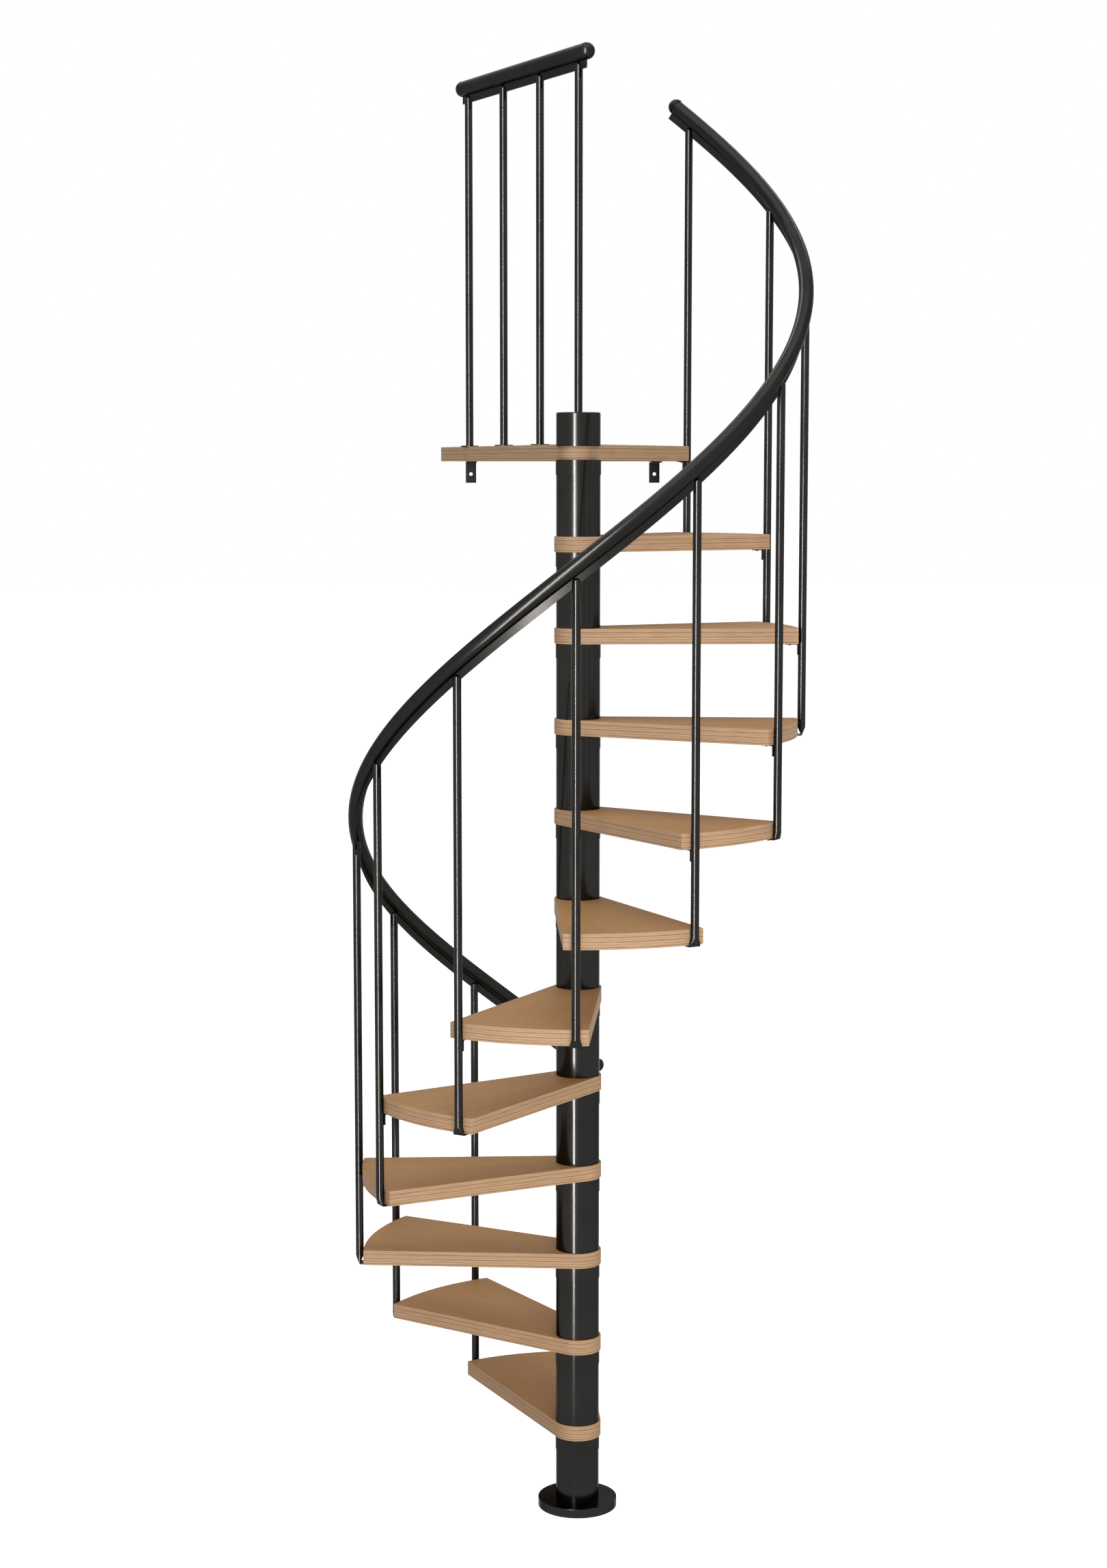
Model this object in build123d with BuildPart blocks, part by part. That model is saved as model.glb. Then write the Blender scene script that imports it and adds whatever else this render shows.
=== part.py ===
from build123d import *
import os
from math import acos, cos, hypot, pi, radians, sin

# A spiral stair of eleven wooden treads and a landing board round a steel column.
# The origin is the centre of the base plate's underside, on the floor. Z is up.
# The stair climbs counter-clockwise seen from above. All sizes are in millimetres.
os.makedirs("parts", exist_ok=True)

# Rise and turn of the stair
rise = 235.0
turn = 29.864
tread_count = 11
landing_top = rise * (tread_count + 1)
first_tread_angle = 101.27
first_baluster_angle = 116.2 - turn

# Column
base_radius = 104.5
base_thickness = 24.0
riser_radius = 57.0
riser_wall = 3.0
riser_seat = 5.0
collar_radius = 58.5
collar_height = 38.0
collar_fit = 0.1
pipe_radius = 24.15
pipe_wall = 2.5
pipe_socket = 14.0
column_top = 2901.0
cap_thickness = 8.0

# Treads
tread_thickness = 40.0
tread_radius = 567.5
tread_half_angle = 18.14
nose_radius = 62.0
pipe_clearance = 0.35
seat_clearance = 0.3
edge_break = 1.2

# Landing board
landing_nose_radius = 41.0
landing_nose_x = -6.0
landing_nose_y = 0.8
landing_back = 810.0
landing_back_right = 374.0
landing_corner_y = 458.0
landing_left_slope = -0.354
landing_right_slope = 0.641
notch_radius = 10.6

# Balusters and landing posts
tube_radius = 10.0
tube_wall = 1.8
baluster_radius = 578.0
baluster_top = 1090.7
slot_width = 4.4
slot_floor = 1053.0
flare_height = 19.0
foot_width = 31.0
foot_thickness = 3.6
foot_reach = 40.0
foot_hole = 24.0
flange_radius = 25.0
flange_thickness = 3.0

# Tie brackets between a baluster and the tread above it
tie_width = 16.0
tie_thickness = 3.0
tie_drop = 29.0
tie_reach = 34.0

# Helical handrail
rail_radius = 19.0
rail_wall = 4.0
rail_height = 1117.6
rail_first = -0.19
rail_last = 11.13
rail_joints = (4.0, 8.0)
joint_gap = 0.4
cap_radius = 21.0
strip_thickness = 4.0
strip_drop = 37.1
strip_inset = 3.0

# Straight handrail over the landing
landing_rail_angle = 112.28
landing_rail_z = 3799.2
landing_rail_radius = 21.0
landing_rail_start = -43.6
landing_rail_end = 718.5
landing_cap_radius = 21.5
landing_strip_bottom = 3758.0
post_spacing = 227.8
post_slot_floor = 3738.5

# Wall brackets under the back edge of the landing board
bracket_width = 30.0
bracket_thickness = 4.0
bracket_drop = 61.0
bracket_reach = 70.0
bracket_hole_radius = 5.0
bracket_hole_drop = 36.0
bracket_left_x = -250.5
bracket_right_x = 275.5


def spoke(angle, radius=0.0, height=0.0):
    """Level plane at a polar position, its X axis pointing away from the column."""
    a = radians(angle)
    return Plane(
        origin=(radius * cos(a), radius * sin(a), height),
        x_dir=(cos(a), sin(a), 0),
        z_dir=(0, 0, 1),
    )


def side_view(seat):
    """Upright plane through a seat's origin: its X stays outward and its Y is up."""
    return Plane(origin=seat.origin, x_dir=seat.x_dir, z_dir=-seat.y_dir)


def save(piece, name):
    """Labels a finished piece and writes it under its own name."""
    piece.label = name
    export_step(piece, "parts/" + name + ".step")


# Base plate: a turned disc with a blind socket for the centre pipe
with BuildPart() as base_plate:
    with BuildSketch(Plane.XY):
        Circle(base_radius)
    extrude(amount=base_thickness)
    fillet(base_plate.edges().group_by(Axis.Z)[-1], 1.0)
    with BuildSketch(Plane.XY.offset(base_thickness - pipe_socket)):
        Circle(pipe_radius + pipe_clearance)
    extrude(amount=pipe_socket, mode=Mode.SUBTRACT)
save(base_plate.part, "base_plate")

# Centre pipe: threads all the treads together inside the riser tubes
pipe_foot = base_thickness - pipe_socket
with BuildPart() as centre_pipe:
    with BuildSketch(Plane.XY.offset(pipe_foot)):
        Circle(pipe_radius)
        Circle(pipe_radius - pipe_wall, mode=Mode.SUBTRACT)
    extrude(amount=column_top - cap_thickness - pipe_foot)
save(centre_pipe.part, "centre_pipe")

# Riser tubes: each stands in the recess of the wood below and carries the wood above
with BuildPart() as riser_tubes:
    for k in range(tread_count + 1):
        foot = base_thickness if k == 0 else rise * k - riser_seat
        head = rise * (k + 1) - tread_thickness
        with BuildSketch(Plane.XY.offset(foot)):
            Circle(riser_radius)
            Circle(riser_radius - riser_wall, mode=Mode.SUBTRACT)
        extrude(amount=head - foot)
save(riser_tubes.part, "riser_tubes")

# Collars: a wider ring round the head of every riser tube, tight under the wood
with BuildPart() as column_collars:
    for k in range(tread_count + 1):
        head = rise * (k + 1) - tread_thickness
        with BuildSketch(Plane.XY.offset(head - collar_height)):
            Circle(collar_radius)
            Circle(riser_radius + collar_fit, mode=Mode.SUBTRACT)
        extrude(amount=collar_height)
save(column_collars.part, "column_collars")

# Top post: the short tube above the landing, with its cap
with BuildPart() as top_post:
    with BuildSketch(Plane.XY.offset(landing_top - riser_seat)):
        Circle(riser_radius)
        Circle(riser_radius - riser_wall, mode=Mode.SUBTRACT)
    extrude(amount=column_top - cap_thickness - landing_top + riser_seat)
save(top_post.part, "top_post")

with BuildPart() as column_cap:
    with BuildSketch(Plane.XY.offset(column_top - cap_thickness)):
        Circle(riser_radius)
    extrude(amount=cap_thickness)
    fillet(column_cap.edges().group_by(Axis.Z)[-1], 3.5)
    with BuildSketch(Plane.XY.offset(column_top - cap_thickness)):
        Circle(riser_radius - riser_wall - seat_clearance)
        Circle(pipe_radius + pipe_clearance, mode=Mode.SUBTRACT)
    extrude(amount=-12.0)
save(column_cap.part, "column_cap")

# Treads: a wedge with a round nose at the column and a rim that follows the stair's edge
corner_x = tread_radius * cos(radians(tread_half_angle))
corner_y = tread_radius * sin(radians(tread_half_angle))
tangent_angle = radians(tread_half_angle) + acos(nose_radius / tread_radius)
tangent_x = nose_radius * cos(tangent_angle)
tangent_y = nose_radius * sin(tangent_angle)
for n in range(1, tread_count + 1):
    top = spoke(first_tread_angle + (n - 1) * turn, 0, rise * n)
    with BuildPart() as tread:
        with BuildSketch(top.offset(-tread_thickness)):
            with BuildLine():
                ThreePointArc((corner_x, -corner_y), (tread_radius, 0), (corner_x, corner_y))
                Line((corner_x, corner_y), (tangent_x, tangent_y))
                ThreePointArc((tangent_x, tangent_y), (-nose_radius, 0), (tangent_x, -tangent_y))
                Line((tangent_x, -tangent_y), (corner_x, -corner_y))
            make_face()
        extrude(amount=tread_thickness)
        chamfer(tread.edges().group_by(Axis.Z)[0] + tread.edges().group_by(Axis.Z)[-1], edge_break)
        with BuildSketch(top.offset(-riser_seat)):
            Circle(riser_radius + seat_clearance)
        extrude(amount=riser_seat, mode=Mode.SUBTRACT)
        with BuildSketch(top.offset(-tread_thickness)):
            Circle(pipe_radius + pipe_clearance)
        extrude(amount=tread_thickness, mode=Mode.SUBTRACT)
    save(tread.part, f"tread_{n:02d}")

# Landing board: the same nose at the column, two long sides and a straight back edge.
# A round notch in its right edge lets the last baluster through.
left_side = Vector(landing_left_slope, 1).normalized()
right_side = Vector(landing_right_slope, 1).normalized()
nose = Vector(landing_nose_x, landing_nose_y)
nose_left = nose + Vector(-left_side.Y, left_side.X) * landing_nose_radius
nose_right = nose + Vector(right_side.Y, -right_side.X) * landing_nose_radius
nose_tip = nose - (left_side + right_side).normalized() * landing_nose_radius
left_back = nose_left + left_side * ((landing_back - nose_left.Y) / left_side.Y)
right_corner = nose_right + right_side * ((landing_corner_y - nose_right.Y) / right_side.Y)
last_baluster = spoke(first_baluster_angle + tread_count * turn, baluster_radius, landing_top)
with BuildPart() as landing_board:
    with BuildSketch(Plane.XY.offset(landing_top - tread_thickness)):
        with BuildLine():
            ThreePointArc(nose_left, nose_tip, nose_right)
            Polyline(
                nose_right,
                right_corner,
                (landing_back_right, landing_back),
                left_back,
                nose_left,
            )
        make_face()
    extrude(amount=tread_thickness)
    flat_rims = landing_board.edges().group_by(Axis.Z)
    chamfer(flat_rims[0] + flat_rims[-1], edge_break)
    with BuildSketch(Plane.XY.offset(landing_top - riser_seat)):
        Circle(riser_radius + seat_clearance)
    extrude(amount=riser_seat, mode=Mode.SUBTRACT)
    with BuildSketch(Plane.XY.offset(landing_top - tread_thickness)):
        Circle(pipe_radius + pipe_clearance)
    extrude(amount=tread_thickness, mode=Mode.SUBTRACT)
    with BuildSketch(last_baluster.offset(-tread_thickness)):
        Circle(notch_radius)
    extrude(amount=tread_thickness, mode=Mode.SUBTRACT)
save(landing_board.part, "landing_board")

# Balusters: a tube with a domed, slotted top. The foot of each is crushed flat and bent in
# under its tread, but the first stands on the floor with a round flange.
for n in range(tread_count + 1):
    seat = spoke(first_baluster_angle + n * turn, baluster_radius, rise * n)
    floor = 0.0 if n == 0 else flare_height - tread_thickness
    tread_side = side_view(seat)
    with BuildPart() as baluster:
        with BuildSketch(tread_side):
            with BuildLine():
                Polyline(
                    (0, baluster_top - tube_radius),
                    (0, floor),
                    (tube_radius, floor),
                    (tube_radius, baluster_top - tube_radius),
                )
                ThreePointArc(
                    (tube_radius, baluster_top - tube_radius),
                    (tube_radius * cos(pi / 4), baluster_top - tube_radius * (1 - sin(pi / 4))),
                    (0, baluster_top),
                )
                Line((0, baluster_top), (0, baluster_top - tube_radius))
            make_face()
        revolve(axis=Axis(seat.origin, seat.z_dir))
        with BuildSketch(seat.offset(floor + 2)):
            Circle(tube_radius - tube_wall)
        extrude(amount=baluster_top - tube_radius - floor - 2, mode=Mode.SUBTRACT)
        with BuildSketch(seat.offset(slot_floor)):
            Rectangle(slot_width, 4 * tube_radius)
        extrude(amount=baluster_top - slot_floor, mode=Mode.SUBTRACT)
        if n == 0:
            with BuildSketch(seat):
                Circle(flange_radius)
            extrude(amount=flange_thickness)
        else:
            with BuildSketch(seat.offset(floor)):
                Circle(tube_radius)
            with BuildSketch(seat.offset(-tread_thickness)):
                SlotOverall(foot_width, foot_thickness, rotation=90)
            loft()
            with BuildSketch(tread_side):
                with BuildLine():
                    Polyline(
                        (foot_thickness / 2, -tread_thickness),
                        (foot_thickness / 2, -tread_thickness - foot_thickness + 1),
                        (foot_thickness / 2 - 1, -tread_thickness - foot_thickness),
                        (-foot_reach, -tread_thickness - foot_thickness),
                        (-foot_reach, -tread_thickness),
                        (foot_thickness / 2, -tread_thickness),
                    )
                make_face()
            extrude(amount=foot_width / 2, both=True)
            with BuildSketch(seat.offset(-tread_thickness - foot_thickness)):
                with Locations((-foot_hole, 0)):
                    Circle(3.5)
            extrude(amount=foot_thickness, mode=Mode.SUBTRACT)
    save(baluster.part, f"baluster_{n:02d}")

# Tie brackets: one leg lies under the next tread, the other against the baluster
with BuildPart() as tie_brackets:
    for n in range(tread_count + 1):
        underside = rise * (n + 1) - tread_thickness
        seat = spoke(first_baluster_angle + n * turn, baluster_radius - tube_radius, underside)
        with BuildSketch(side_view(seat)):
            with BuildLine():
                Polyline(
                    (0, 0),
                    (0, -tie_drop),
                    (-tie_thickness, -tie_drop),
                    (-tie_thickness, -tie_thickness),
                    (-tie_reach, -tie_thickness),
                    (-tie_reach, 0),
                    (0, 0),
                )
            make_face()
        extrude(amount=tie_width / 2, both=True)
save(tie_brackets.part, "tie_brackets")

# Helical handrail: a thick-walled tube with a groove along its underside, in three lengths
# that meet over a baluster
pitch = rise * 360.0 / turn
step_length = hypot(rise, radians(turn) * baluster_radius)


def rail_run(start, end):
    """Helix between two places counted in balusters, and the section plane at its start."""
    foot = (0, 0, rise * start + rail_height)
    with BuildLine(mode=Mode.PRIVATE) as run:
        Helix(pitch, rise * (end - start), baluster_radius, center=foot)
    line = run.edges()[0].rotate(Axis.Z, first_baluster_angle + start * turn)
    begin = line @ 0
    inward = -Vector(begin.X, begin.Y, 0).normalized()
    return line, Plane(origin=begin, x_dir=inward, z_dir=line % 0)


rail_starts = (rail_first, *rail_joints)
rail_stops = (*(joint - joint_gap / step_length for joint in rail_joints), rail_last)
with BuildPart() as handrail:
    for start, stop in zip(rail_starts, rail_stops):
        line, section = rail_run(start, stop)
        with BuildSketch(section):
            Circle(rail_radius)
            Circle(rail_radius - rail_wall, mode=Mode.SUBTRACT)
            with Locations((0, -rail_radius)):
                Rectangle(strip_thickness + 0.4, 2 * strip_inset, mode=Mode.SUBTRACT)
        sweep(path=line, is_frenet=True)
save(handrail.part, "handrail")

# Flat strip let into the groove and gripped by the slots of the balusters
strip_height = strip_drop - rail_radius + strip_inset
rail_line, rail_section = rail_run(rail_first, rail_last)
with BuildPart() as handrail_strip:
    with BuildSketch(rail_section):
        with Locations((0, -strip_drop + strip_height / 2)):
            Rectangle(strip_thickness, strip_height)
    sweep(path=rail_line, is_frenet=True)
save(handrail_strip.part, "handrail_strip")


def cap_profile(plane, radius, plug):
    """Half section of a domed end cap: X runs out along the rail, Y across it."""
    with BuildSketch(plane, mode=Mode.PRIVATE) as half:
        with BuildLine():
            Line((0, plug), (0, radius))
            ThreePointArc((0, radius), (radius * cos(pi / 4), radius * sin(pi / 4)), (radius, 0))
            Polyline((radius, 0), (-14, 0), (-14, plug), (0, plug))
        make_face()
    return half.sketch


# End caps of the helical handrail: a half ball with a plug inside the tube
for name, place, outward in (
    ("handrail_cap_lower", rail_line @ 0, -(rail_line % 0)),
    ("handrail_cap_upper", rail_line @ 1, rail_line % 1),
):
    radial = Vector(place.X, place.Y, 0).normalized()
    half = cap_profile(
        Plane(origin=place, x_dir=outward, z_dir=outward.cross(radial)),
        cap_radius,
        rail_radius - rail_wall - seat_clearance,
    )
    with BuildPart() as rail_cap:
        add(half)
        revolve(axis=Axis(place, outward))
    save(rail_cap.part, name)

# Straight handrail over the landing, on the same kind of strip
along = spoke(landing_rail_angle, landing_rail_start, landing_rail_z)
across = Plane(origin=along.origin, x_dir=along.y_dir, z_dir=along.x_dir)
rail_length = landing_rail_end - landing_rail_start
with BuildPart() as landing_handrail:
    with BuildSketch(across):
        Circle(landing_rail_radius)
        Circle(landing_rail_radius - rail_wall, mode=Mode.SUBTRACT)
        with Locations((0, -landing_rail_radius)):
            Rectangle(strip_thickness + 0.4, 2 * strip_inset, mode=Mode.SUBTRACT)
    extrude(amount=rail_length)
save(landing_handrail.part, "landing_handrail")

landing_strip_top = landing_rail_z - landing_rail_radius + strip_inset
with BuildPart() as landing_strip:
    with BuildSketch(along.offset(landing_strip_bottom - landing_rail_z)):
        with Locations((rail_length / 2, 0)):
            Rectangle(rail_length, strip_thickness)
    extrude(amount=landing_strip_top - landing_strip_bottom)
save(landing_strip.part, "landing_strip")

for name, reach, way in (
    ("landing_cap_front", landing_rail_start, -1),
    ("landing_cap_back", landing_rail_end, 1),
):
    place = spoke(landing_rail_angle, reach, landing_rail_z)
    outward = place.x_dir * way
    half = cap_profile(
        Plane(origin=place.origin, x_dir=outward, z_dir=outward.cross(Vector(0, 0, 1))),
        landing_cap_radius,
        landing_rail_radius - rail_wall - seat_clearance,
    )
    with BuildPart() as landing_cap:
        add(half)
        revolve(axis=Axis(place.origin, outward))
    save(landing_cap.part, name)

# Landing posts: the first stands on the column's cap, the others on flanges on the board
for m in range(4):
    foot = column_top if m == 0 else landing_top
    head = landing_rail_z - landing_rail_radius
    seat = spoke(landing_rail_angle, m * post_spacing, foot)
    post_height = head - foot
    with BuildPart() as post:
        with BuildSketch(side_view(seat)):
            with BuildLine():
                Polyline(
                    (0, post_height - tube_radius),
                    (0, 0),
                    (tube_radius, 0),
                    (tube_radius, post_height - tube_radius),
                )
                ThreePointArc(
                    (tube_radius, post_height - tube_radius),
                    (tube_radius * cos(pi / 4), post_height - tube_radius * (1 - sin(pi / 4))),
                    (0, post_height),
                )
                Line((0, post_height), (0, post_height - tube_radius))
            make_face()
        revolve(axis=Axis(seat.origin, seat.z_dir))
        with BuildSketch(seat.offset(flange_thickness)):
            Circle(tube_radius - tube_wall)
        extrude(amount=post_height - tube_radius - flange_thickness, mode=Mode.SUBTRACT)
        with BuildSketch(seat.offset(post_slot_floor - foot)):
            Rectangle(4 * tube_radius, slot_width)
        extrude(amount=head - post_slot_floor, mode=Mode.SUBTRACT)
        if m > 0:
            with BuildSketch(seat):
                Circle(flange_radius)
            extrude(amount=flange_thickness)
    save(post.part, f"landing_post_{m + 1}")

# Wall brackets: bent flat bar, one leg under the board and one against the wall
for name, place_x in (("wall_bracket_left", bracket_left_x), ("wall_bracket_right", bracket_right_x)):
    corner = Plane(
        origin=(place_x, landing_back, landing_top - tread_thickness),
        x_dir=(0, 1, 0),
        z_dir=(1, 0, 0),
    )
    with BuildPart() as wall_bracket:
        with BuildSketch(corner):
            with BuildLine():
                Polyline(
                    (0, 0),
                    (0, -bracket_drop),
                    (-bracket_thickness, -bracket_drop),
                    (-bracket_thickness, -bracket_thickness),
                    (-bracket_reach, -bracket_thickness),
                    (-bracket_reach, 0),
                    (0, 0),
                )
            make_face()
        extrude(amount=bracket_width / 2, both=True)
        with BuildSketch(Plane(origin=corner.origin, x_dir=(-1, 0, 0), z_dir=(0, 1, 0))):
            with Locations((0, -bracket_hole_drop)):
                Circle(bracket_hole_radius)
        extrude(amount=-bracket_thickness, mode=Mode.SUBTRACT)
    save(wall_bracket.part, name)
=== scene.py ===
# %% [markdown]
# # A spiral staircase with wooden treads
#
# Eleven laminated wooden treads and a landing board turn round a black steel column.
# Black tubes stand at the rim of every tread and grip a handrail that winds up beside them.
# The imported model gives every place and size, so this file only makes the finer shapes,
# the finishes, the light and the camera. Nothing here changes where a piece stands.

# %% Load the frame
from math import acos, asin, atan, cos, pi, radians, sin, tau

import bmesh
import bpy
from mathutils import Matrix, Vector


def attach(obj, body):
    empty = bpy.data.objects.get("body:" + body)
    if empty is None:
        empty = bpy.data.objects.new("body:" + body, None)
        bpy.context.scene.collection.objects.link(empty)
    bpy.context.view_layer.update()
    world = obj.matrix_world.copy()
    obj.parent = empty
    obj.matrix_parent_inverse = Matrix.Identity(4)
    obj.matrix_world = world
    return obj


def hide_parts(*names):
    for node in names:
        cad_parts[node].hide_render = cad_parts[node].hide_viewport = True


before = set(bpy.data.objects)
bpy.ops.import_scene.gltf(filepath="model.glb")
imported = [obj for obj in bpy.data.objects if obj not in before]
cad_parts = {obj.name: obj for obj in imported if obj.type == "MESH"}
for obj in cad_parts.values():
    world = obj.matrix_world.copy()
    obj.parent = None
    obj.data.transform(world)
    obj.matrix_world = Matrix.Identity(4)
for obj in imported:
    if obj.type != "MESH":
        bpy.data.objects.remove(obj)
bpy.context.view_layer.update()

# %% [markdown]
# The stair is drawn in millimetres, as its drawings are, and scaled to metres when a piece
# is finished. `spoke` is the one placing tool: it turns a piece to its angle round the
# column, pushes it outward and lifts it. The same few numbers place every repeat. TUBE,
# COLUMN and BORE are radii.

# %% Sizes and the placing tool
MM = 0.001
RISE = 235.0
TURN = 29.864
TREADS = 11
FIRST_TREAD = 101.27
FIRST_BALUSTER = 116.2 - TURN
BALUSTER_RING = 578.0
TUBE = 10.4
SLOT = 4.4
LANDING_TOP = RISE * (TREADS + 1)
LANDING_BACK = 810.0
BOARD = 40.0
COLUMN = 57.0
BORE = 54.0
SEAT_DEPTH = 5.0
COLUMN_TOP = 2901.0
LID = 8.0


def spoke(angle, radius=0.0, height=0.0):
    """Place on the plan whose X axis runs away from the column, in metres."""
    turn = Matrix.Rotation(radians(angle), 4, "Z")
    return turn @ Matrix.Translation((radius * MM, 0, height * MM)) @ Matrix.Scale(MM, 4)


print("Each step climbs", RISE, "mm and turns", TURN, "degrees")

# %% [markdown]
# A few helpers work on a bmesh. `verts_in` and `edges_in` pick from what an operator gives
# back. `soften` rounds every edge that folds sharply, because no real edge is perfectly
# sharp and a small round is what catches the light. `turned` spins half a profile round
# the Z axis, as a lathe would, and closes the poles.

# %% Softened edges and turned shapes


def verts_in(geom):
    """The points among the results of an operator."""
    return [item for item in geom if isinstance(item, bmesh.types.BMVert)]


def edges_in(geom):
    """The edges among the results of an operator."""
    return [item for item in geom if isinstance(item, bmesh.types.BMEdge)]


def soften(bm, width, segments=3, fold=50, where=None):
    """Rounds the edges that fold by more than the given angle."""
    edges = [e for e in bm.edges if e.is_manifold and e.calc_face_angle() > radians(fold)]
    if where:
        edges = [e for e in edges if where((e.verts[0].co + e.verts[1].co) / 2)]
    bmesh.ops.bevel(
        bm, geom=edges, offset=width, affect="EDGES", segments=segments, profile=0.5, material=-1
    )


def turned(profile, steps=64, closed=False):
    """Spins (radius, height) points round the Z axis into a closed shape."""
    bm = bmesh.new()
    verts = [bm.verts.new((r, 0, z)) for r, z in profile]
    pairs = list(zip(verts, verts[1:]))
    if closed:
        pairs.append((verts[-1], verts[0]))
    edges = [bm.edges.new(pair) for pair in pairs]
    bmesh.ops.spin(
        bm, geom=verts + edges, cent=(0, 0, 0), axis=(0, 0, 1), angle=tau, steps=steps,
        use_merge=True,
    )
    bmesh.ops.remove_doubles(bm, verts=bm.verts, dist=1e-3)
    bmesh.ops.recalc_face_normals(bm, faces=bm.faces)
    return bm


def arc_points(centre, radius, start, end, steps):
    """Points on an arc in a half profile, from one angle to another."""
    angles = [radians(start + (end - start) * i / steps) for i in range(steps + 1)]
    return [(centre[0] + radius * cos(a), centre[1] + radius * sin(a)) for a in angles]


# %% [markdown]
# `gather` puts one shape into another at its place, so a set of equal pieces can be one
# object. `place` turns a finished bmesh into an object: it is scaled to metres, shaded
# smooth, weighted so that broad faces stay flat beside their rounded edges, tied to the
# frame, and the parts of the frame that it stands for are hidden.

# %% From a bmesh to an object


def gather(bm, shape, matrix):
    """Adds a copy of a shape to a bmesh, at a place."""
    mesh = bpy.data.meshes.new("gathered")
    shape.to_mesh(mesh)
    mesh.transform(matrix)
    bm.from_mesh(mesh)
    bpy.data.meshes.remove(mesh)


def place(bm, name, materials, nodes=(), matrix=None, sharp=40):
    """Finishes a piece and ties it to the frame."""
    if matrix is not None:
        bm.transform(matrix)
    mesh = bpy.data.meshes.new(name)
    bm.to_mesh(mesh)
    bm.free()
    mesh.shade_smooth()
    mesh.set_sharp_from_angle(angle=radians(sharp))
    piece = bpy.data.objects.new(name, mesh)
    bpy.context.scene.collection.objects.link(piece)
    for material in materials:
        mesh.materials.append(material)
    flat = piece.modifiers.new("Flat faces stay flat", "WEIGHTED_NORMAL")
    flat.keep_sharp = True
    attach(piece, "root")
    if nodes:
        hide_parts(*nodes)


# %% [markdown]
# ## Finishes
#
# Several finishes share an effect, so each effect is a node group with named sockets.
# The first is the skin of a powder coat: a fine orange peel, and a slow change of tone
# that keeps a long black tube from looking like flat paint.

# %% A small kit for node trees


def new_group(name, inputs, outputs):
    """A shader node group with named inputs and outputs."""
    group = bpy.data.node_groups.new(name, "ShaderNodeTree")
    for label, kind, value in inputs:
        socket = group.interface.new_socket(label, in_out="INPUT", socket_type=kind)
        if value is not None:
            socket.default_value = value
    for label, kind in outputs:
        group.interface.new_socket(label, in_out="OUTPUT", socket_type=kind)
    return group, group.nodes.new("NodeGroupInput"), group.nodes.new("NodeGroupOutput")


def add_node(tree, kind, **settings):
    """A node with its settings and plain input values."""
    node = tree.nodes.new(kind)
    for key, value in settings.items():
        if hasattr(node, key):
            setattr(node, key, value)
        else:
            node.inputs[key.replace("_", " ")].default_value = value
    return node


def noise(tree, vector, scale, detail=3.0, roughness=0.5):
    """A noise texture read at a vector."""
    node = add_node(tree, "ShaderNodeTexNoise", Scale=scale, Detail=detail, Roughness=roughness)
    tree.links.new(vector, node.inputs["Vector"])
    return node.outputs["Fac"]


def remap(tree, value, low, high, to_low, to_high):
    """Stretches a value from one range to another."""
    node = tree.nodes.new("ShaderNodeMapRange")
    labels = ("From Min", "From Max", "To Min", "To Max")
    for label, number in zip(labels, (low, high, to_low, to_high)):
        node.inputs[label].default_value = number
    tree.links.new(value, node.inputs["Value"])
    return node.outputs["Result"]


def blend(tree, factor, first, second):
    """Mixes two colours by a factor."""
    node = tree.nodes.new("ShaderNodeMix")
    node.data_type = "RGBA"
    sockets = (node.inputs[0], node.inputs[6], node.inputs[7])
    for socket, value in zip(sockets, (factor, first, second)):
        if isinstance(value, (float, int, tuple)):
            socket.default_value = value
        else:
            tree.links.new(value, socket)
    return node.outputs[2]


def new_material(name):
    """A material with its tree of nodes and its shader."""
    material = bpy.data.materials.new(name)
    material.use_nodes = True
    return material, material.node_tree, material.node_tree.nodes["Principled BSDF"]


def use_group(tree, group, vector):
    """A node that runs a group at a vector."""
    node = tree.nodes.new("ShaderNodeGroup")
    node.node_tree = group
    tree.links.new(vector, node.inputs["Vector"])
    return node


def add_bump(tree, shader, height, strength):
    """Lets a value raise the surface by a few tenths of a millimetre."""
    bump = add_node(tree, "ShaderNodeBump", Strength=strength, Distance=0.0003)
    tree.links.new(height, bump.inputs["Height"])
    tree.links.new(bump.outputs["Normal"], shader.inputs["Normal"])


# %% The powder coat group
coat_group, coat_in, coat_out = new_group(
    "Powder coat skin",
    [
        ("Vector", "NodeSocketVector", None),
        ("Peel scale", "NodeSocketFloat", 900.0),
        ("Peel height", "NodeSocketFloat", 0.004),
    ],
    [("Tone", "NodeSocketFloat"), ("Roughness", "NodeSocketFloat"), ("Normal", "NodeSocketVector")],
)
slow = noise(coat_group, coat_in.outputs["Vector"], 7.0, detail=2.0)
peel = add_node(coat_group, "ShaderNodeTexNoise", Detail=1.0)
coat_group.links.new(coat_in.outputs["Vector"], peel.inputs["Vector"])
coat_group.links.new(coat_in.outputs["Peel scale"], peel.inputs["Scale"])
peel_bump = add_node(coat_group, "ShaderNodeBump", Distance=0.0004)
coat_group.links.new(coat_in.outputs["Peel height"], peel_bump.inputs["Strength"])
coat_group.links.new(peel.outputs["Fac"], peel_bump.inputs["Height"])
coat_group.links.new(slow, coat_out.inputs["Tone"])
coat_group.links.new(remap(coat_group, slow, 0.3, 0.7, 0.17, 0.23), coat_out.inputs["Roughness"])
coat_group.links.new(peel_bump.outputs["Normal"], coat_out.inputs["Normal"])

# %% [markdown]
# The coat is near black, slightly warm and satin. It is mixed as a dark metal with a
# halved edge tint, so that the white room doesn't wash out the sides of the tubes, and a
# lamp still draws a thin bright line down every one. The rail's cover and its strip are
# the same black with a softer sheen.

# %% Black coats


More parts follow.
